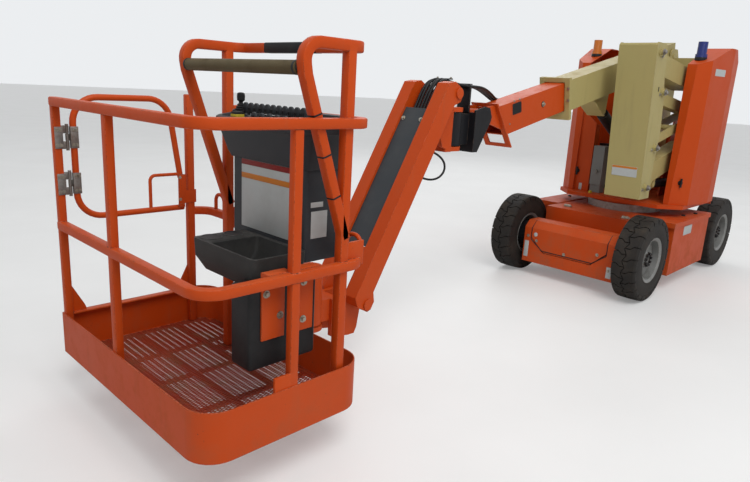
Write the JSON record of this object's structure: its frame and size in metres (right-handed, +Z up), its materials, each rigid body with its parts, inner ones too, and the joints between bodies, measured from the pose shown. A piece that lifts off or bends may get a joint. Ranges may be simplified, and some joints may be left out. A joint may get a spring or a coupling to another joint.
{
  "type": "articulating boom lift",
  "caption": "Self-propelled work platform: double-parallelogram tower, telescoping main boom, swinging jib and railed basket on a wheeled chassis with a slewing turntable.",
  "frame": {"origin": "on the ground under the middle of the whole machine's outline", "axes": "+X towards the platform, +Y towards the machine's left side, +Z up"},
  "size_m": [5.6634, 1.2445, 1.9765],
  "materials": {
    "orange_paint": "gloss",
    "cream_paint": "satin",
    "black_paint": "satin",
    "grey_paint": "satin",
    "silver_paint": "satin",
    "bare_steel": "satin",
    "chrome_rod": "polished",
    "black_plastic": "matt",
    "charcoal_plastic": "matt",
    "tan_bar": "matt",
    "tyre_rubber": "matt",
    "blue_lens": "gloss",
    "amber_lens": "gloss"
  },
  "bodies": {
    "chassis": {"chassis_frame": "orange_paint", "end_cover": "orange_paint", "battery_boxes": "orange_paint", "battery_lids": "orange_paint", "slew_bearing": "bare_steel", "drive_motors": "black_paint", "rear_axle": "orange_paint"},
    "knuckle_left": {"knuckle_left": "orange_paint"},
    "knuckle_right": {"knuckle_right": "orange_paint"},
    "tie_rod": {"tie_rod": "bare_steel"},
    "turntable": {"turntable_frame": "orange_paint", "ground_controls": "grey_paint", "hydraulic_unit": "black_paint", "counterweight": "orange_paint"},
    "hood_left": {"hood_left": "orange_paint", "beacon_blue": "blue_lens"},
    "hood_right": {"hood_right": "orange_paint", "beacon_amber": "amber_lens"},
    "lower_arm": {"lower_arm": "cream_paint"},
    "lower_link": {"lower_link": "cream_paint"},
    "mid_upright": {"mid_upright": "cream_paint"},
    "upper_arm": {"upper_arm": "cream_paint"},
    "upper_link": {"upper_link": "cream_paint"},
    "top_upright": {"top_upright": "cream_paint"},
    "tower_barrel": {"tower_cylinder_barrel": "black_paint"},
    "tower_rod": {"tower_cylinder_rod": "chrome_rod"},
    "boom_base": {"boom_base": "cream_paint"},
    "boom_fly": {"boom_fly": "orange_paint", "hose_tray": "black_plastic"},
    "boom_barrel": {"boom_cylinder_barrel": "black_paint"},
    "boom_rod": {"boom_cylinder_rod": "chrome_rod"},
    "nose_bracket": {"nose_bracket": "black_paint"},
    "jib_rotator": {"jib_rotator": "orange_paint"},
    "jib_arm": {"jib_arm": "orange_paint", "jib_cover": "black_plastic"},
    "jib_link": {"jib_link": "orange_paint"},
    "jib_barrel": {"jib_cylinder_barrel": "black_paint"},
    "jib_rod": {"jib_cylinder_rod": "chrome_rod"},
    "jib_foot": {"jib_foot": "orange_paint"},
    "platform": {"platform_floor": "orange_paint", "platform_rails": "orange_paint", "sensor_bar": "tan_bar", "control_console": "charcoal_plastic", "tool_tray": "black_plastic", "platform_box": "black_plastic"},
    "gate": {"gate": "orange_paint"},
    "wheel_front_left": {"tyre_front_left": "tyre_rubber", "rim_front_left": "silver_paint"},
    "wheel_front_right": {"tyre_front_right": "tyre_rubber", "rim_front_right": "silver_paint"},
    "wheel_rear_left": {"tyre_rear_left": "tyre_rubber", "rim_rear_left": "silver_paint"},
    "wheel_rear_right": {"tyre_rear_right": "tyre_rubber", "rim_rear_right": "silver_paint"}
  },
  "joints": [
    {"name": "wheel_front_left_roll", "type": "hinge", "parent": "chassis", "child": "wheel_front_left", "pos_m": [-0.864, 0.521, 0.3175], "axis": [0, 1, 0], "continuous": true},
    {"name": "wheel_front_right_roll", "type": "hinge", "parent": "chassis", "child": "wheel_front_right", "pos_m": [-0.864, -0.521, 0.3175], "axis": [0, 1, 0], "continuous": true},
    {"name": "wheel_rear_left_roll", "type": "hinge", "parent": "knuckle_left", "child": "wheel_rear_left", "pos_m": [-2.514, 0.521, 0.3175], "axis": [0, 1, 0], "continuous": true},
    {"name": "wheel_rear_right_roll", "type": "hinge", "parent": "knuckle_right", "child": "wheel_rear_right", "pos_m": [-2.514, -0.521, 0.3175], "axis": [0, 1, 0], "continuous": true},
    {"name": "steer_left", "type": "hinge", "parent": "chassis", "child": "knuckle_left", "pos_m": [-2.514, 0.448, 0.3175], "axis": [0, 0, 1], "range_deg": [-38, 38]},
    {"name": "steer_right", "type": "hinge", "parent": "chassis", "child": "knuckle_right", "pos_m": [-2.514, -0.448, 0.3175], "axis": [0, 0, 1], "range_deg": [-38, 38]},
    {"name": "tie_rod_turn", "type": "hinge", "parent": "knuckle_left", "child": "tie_rod", "pos_m": [-2.414, 0.448, 0.283], "axis": [0, 0, 1], "range_deg": [-38, 38]},
    {"name": "slew", "type": "hinge", "parent": "chassis", "child": "turntable", "pos_m": [-1.689, 0, 0.6], "axis": [0, 0, 1], "range_deg": [-175, 175]},
    {"name": "hood_left_open", "type": "hinge", "parent": "turntable", "child": "hood_left", "pos_m": [-2.145, 0.602, 1.2], "axis": [0, 0, 1], "range_deg": [0, 90]},
    {"name": "hood_right_open", "type": "hinge", "parent": "turntable", "child": "hood_right", "pos_m": [-2.145, -0.602, 1.2], "axis": [0, 0, -1], "range_deg": [0, 90]},
    {"name": "tower_lift", "type": "hinge", "parent": "turntable", "child": "lower_arm", "pos_m": [-2.0892, 0.29, 1.08722], "axis": [0, -1, 0], "range_deg": [0, 70]},
    {"name": "lower_link_swing", "type": "hinge", "parent": "turntable", "child": "lower_link", "pos_m": [-2.1462, 0.29, 1.37922], "axis": [0, -1, 0], "range_deg": [0, 70]},
    {"name": "mid_upright_level", "type": "hinge", "parent": "lower_arm", "child": "mid_upright", "pos_m": [-0.912, 0.29, 0.837], "axis": [0, -1, 0], "range_deg": [-70, 0]},
    {"name": "upper_arm_swing", "type": "hinge", "parent": "mid_upright", "child": "upper_arm", "pos_m": [-0.807, 0.29, 1.796], "axis": [0, 1, 0], "range_deg": [0, 70]},
    {"name": "upper_link_swing", "type": "hinge", "parent": "mid_upright", "child": "upper_link", "pos_m": [-0.95, 0.29, 1.527], "axis": [0, 1, 0], "range_deg": [0, 70]},
    {"name": "top_upright_level", "type": "hinge", "parent": "upper_arm", "child": "top_upright", "pos_m": [-2.04868, 0.29, 1.64354], "axis": [0, 1, 0], "range_deg": [-70, 0]},
    {"name": "tower_barrel_swing", "type": "hinge", "parent": "turntable", "child": "tower_barrel", "pos_m": [-2.049, 0.29, 0.78], "axis": [0, -1, 0], "range_deg": [0, 60.04]},
    {"name": "tower_rod_slide", "type": "slide", "parent": "tower_barrel", "child": "tower_rod", "axis": [0.9987, 0, 0.0507], "range_m": [0, 0.3249]},
    {"name": "boom_lift", "type": "hinge", "parent": "top_upright", "child": "boom_base", "pos_m": [-2.109, -0.03, 1.86], "axis": [0, -1, 0], "range_deg": [0, 75]},
    {"name": "boom_barrel_swing", "type": "hinge", "parent": "top_upright", "child": "boom_barrel", "pos_m": [-2.119, -0.03, 0.8], "axis": [0, -1, 0], "range_deg": [0, 42.38]},
    {"name": "boom_rod_slide", "type": "slide", "parent": "boom_barrel", "child": "boom_rod", "axis": [0.8868, 0, 0.4622], "range_m": [0, 0.88523]},
    {"name": "boom_extend", "type": "slide", "parent": "boom_base", "child": "boom_fly", "axis": [0.9763, 0, -0.2164], "range_m": [0, 1.2]},
    {"name": "nose_level", "type": "hinge", "parent": "boom_fly", "child": "nose_bracket", "pos_m": [0.641, -0.03, 1.327], "axis": [0, -1, 0], "range_deg": [-75, 0]},
    {"name": "jib_swing", "type": "hinge", "parent": "nose_bracket", "child": "jib_rotator", "pos_m": [0.871, -0.03, 1.24], "axis": [0, 0, 1], "range_deg": [-90, 90]},
    {"name": "jib_lift", "type": "hinge", "parent": "jib_rotator", "child": "jib_arm", "pos_m": [1.026, -0.03, 1.443], "axis": [0, -1, 0], "range_deg": [0, 144]},
    {"name": "jib_link_swing", "type": "hinge", "parent": "jib_rotator", "child": "jib_link", "pos_m": [1.049, -0.03, 1.295], "axis": [0, -1, 0], "range_deg": [0, 144]},
    {"name": "jib_foot_level", "type": "hinge", "parent": "jib_arm", "child": "jib_foot", "pos_m": [1.6385, -0.03, 0.38212], "axis": [0, -1, 0], "range_deg": [-144, 0]},
    {"name": "jib_barrel_swing", "type": "hinge", "parent": "jib_arm", "child": "jib_barrel", "pos_m": [1.46064, -0.03, 0.77018], "axis": [0, -1, 0], "range_deg": [-3.87, 0.5]},
    {"name": "jib_rod_slide", "type": "slide", "parent": "jib_barrel", "child": "jib_rod", "axis": [-0.6172, 0, 0.7868], "range_m": [0, 0.28303]},
    {"name": "platform_rotate", "type": "hinge", "parent": "jib_foot", "child": "platform", "pos_m": [1.896, -0.03, 0.43], "axis": [0, 0, 1], "range_deg": [-90, 90]},
    {"name": "gate_open", "type": "hinge", "parent": "platform", "child": "gate", "pos_m": [2.767, -0.6155, 1.07], "axis": [0, 0, -1], "range_deg": [0, 90]}
  ],
  "couplings": [
    {"joint": "steer_right", "follows": "steer_left", "ratio": 1},
    {"joint": "tie_rod_turn", "follows": "steer_left", "ratio": -1},
    {"joint": "lower_link_swing", "follows": "tower_lift", "ratio": 1},
    {"joint": "mid_upright_level", "follows": "tower_lift", "ratio": -1},
    {"joint": "upper_arm_swing", "follows": "tower_lift", "ratio": 1},
    {"joint": "upper_link_swing", "follows": "tower_lift", "ratio": 1},
    {"joint": "top_upright_level", "follows": "tower_lift", "ratio": -1},
    {"joint": "tower_barrel_swing", "follows": "tower_lift", "ratio": 0.85058},
    {"joint": "tower_rod_slide", "follows": "tower_lift", "m_per_rad": 0.2643},
    {"joint": "boom_barrel_swing", "follows": "boom_lift", "ratio": 0.55837},
    {"joint": "boom_rod_slide", "follows": "boom_lift", "m_per_rad": 0.67474},
    {"joint": "nose_level", "follows": "boom_lift", "ratio": -1},
    {"joint": "jib_link_swing", "follows": "jib_lift", "ratio": 1},
    {"joint": "jib_foot_level", "follows": "jib_lift", "ratio": -1},
    {"joint": "jib_barrel_swing", "follows": "jib_lift", "ratio": -0.023392},
    {"joint": "jib_rod_slide", "follows": "jib_lift", "m_per_rad": 0.11182}
  ]
}
